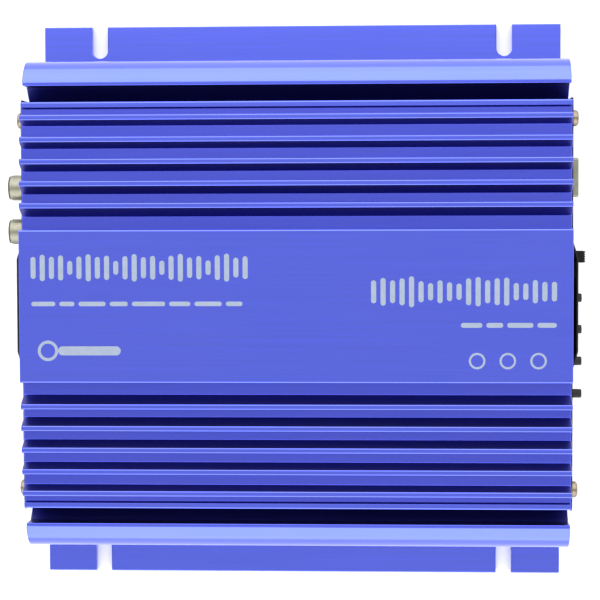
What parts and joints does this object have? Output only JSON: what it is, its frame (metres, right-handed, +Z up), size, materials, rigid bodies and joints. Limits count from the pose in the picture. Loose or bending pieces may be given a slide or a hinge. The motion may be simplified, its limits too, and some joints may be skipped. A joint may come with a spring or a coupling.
{
  "type": "car amplifier",
  "caption": "Car audio amplifier: blue anodised finned heat-sink case with slotted feet, black end plates, RCA inputs, harness sockets, USB port, slide switch and trim controls.",
  "frame": {"origin": "middle of the underside", "axes": "+X along the case towards the control end, +Y across the case, +Z up out of the finned top"},
  "size_m": [0.1971, 0.194, 0.05],
  "materials": {
    "anodised_aluminium": "blue anodised, satin, fine extrusion lines along the length",
    "black_sheet": "black powder coat, fine texture",
    "screw_nickel": "warm nickel plating, slightly dull",
    "jack_nickel": "warm nickel plating, turned",
    "brass": "bright brass",
    "black_plastic": "moulded, fine grain",
    "grey_plastic": "moulded, fine grain",
    "white_plastic": "moulded",
    "red_plastic": "moulded",
    "fuse_amber": "clear tinted, moulded",
    "circuit_board": "green solder mask",
    "green_lens": "clear tinted lens",
    "red_lens": "clear tinted lens",
    "copper_winding": "enamelled copper wire",
    "plain_steel": "zinc plated sheet"
  },
  "bodies": {
    "case": {"heatsink_housing": "anodised_aluminium", "bottom_cover": "black_sheet", "end_plate_screw_1": "screw_nickel", "end_plate_screw_2": "screw_nickel", "end_plate_screw_3": "screw_nickel", "end_plate_screw_4": "screw_nickel", "end_plate_screw_5": "screw_nickel", "end_plate_screw_6": "screw_nickel", "end_plate_screw_7": "screw_nickel", "end_plate_screw_8": "screw_nickel", "cover_screw_1": "screw_nickel", "cover_screw_2": "screw_nickel", "cover_screw_3": "screw_nickel", "cover_screw_4": "screw_nickel", "end_plate_input": "black_sheet", "end_plate_control": "black_sheet", "rca_shell_1": "jack_nickel", "rca_insulator_1": "white_plastic", "rca_contact_1": "brass", "rca_shell_2": "jack_nickel", "rca_insulator_2": "red_plastic", "rca_contact_2": "brass", "rca_block": "black_plastic", "speaker_socket": "black_plastic", "power_socket": "black_plastic", "fuse_holder": "black_plastic", "usb_shell": "jack_nickel", "usb_tongue": "white_plastic", "slide_switch_body": "plain_steel", "pot_body_1": "black_plastic", "pot_body_2": "black_plastic", "pot_body_3": "black_plastic", "pot_body_4": "black_plastic", "power_led": "green_lens", "protect_led": "red_lens", "control_board": "circuit_board", "main_board": "circuit_board", "board_standoff_1": "brass", "board_standoff_2": "brass", "board_standoff_3": "brass", "board_standoff_4": "brass", "toroid_transformer": "copper_winding", "reservoir_capacitor_1": "black_plastic", "reservoir_capacitor_2": "black_plastic", "output_device_1": "black_plastic", "output_device_2": "black_plastic", "output_device_3": "black_plastic", "output_device_4": "black_plastic", "clamp_bar_1": "plain_steel", "clamp_bar_2": "plain_steel"},
    "pot_1": {"pot_shaft_1": "grey_plastic"},
    "pot_2": {"pot_shaft_2": "grey_plastic"},
    "pot_3": {"pot_shaft_3": "grey_plastic"},
    "pot_4": {"pot_shaft_4": "grey_plastic"},
    "switch": {"slide_switch_knob": "black_plastic"},
    "fuse": {"blade_fuse": "fuse_amber"}
  },
  "joints": [
    {"name": "pot_1_turn", "type": "hinge", "parent": "case", "child": "pot_1", "pos_m": [0.0908, 0.0018, 0.025], "axis": [1, 0, 0], "range_deg": [-150, 150]},
    {"name": "pot_2_turn", "type": "hinge", "parent": "case", "child": "pot_2", "pos_m": [0.0908, -0.0089, 0.025], "axis": [1, 0, 0], "range_deg": [-150, 150]},
    {"name": "pot_3_turn", "type": "hinge", "parent": "case", "child": "pot_3", "pos_m": [0.0908, -0.0197, 0.025], "axis": [1, 0, 0], "range_deg": [-150, 150]},
    {"name": "pot_4_turn", "type": "hinge", "parent": "case", "child": "pot_4", "pos_m": [0.0908, -0.0308, 0.025], "axis": [1, 0, 0], "range_deg": [-150, 150]},
    {"name": "switch_slide", "type": "slide", "parent": "case", "child": "switch", "axis": [0, 1, 0], "range_m": [-0.004, 0]},
    {"name": "fuse_pull", "type": "slide", "parent": "case", "child": "fuse", "axis": [-1, 0, 0], "range_m": [0, 0.018]}
  ]
}
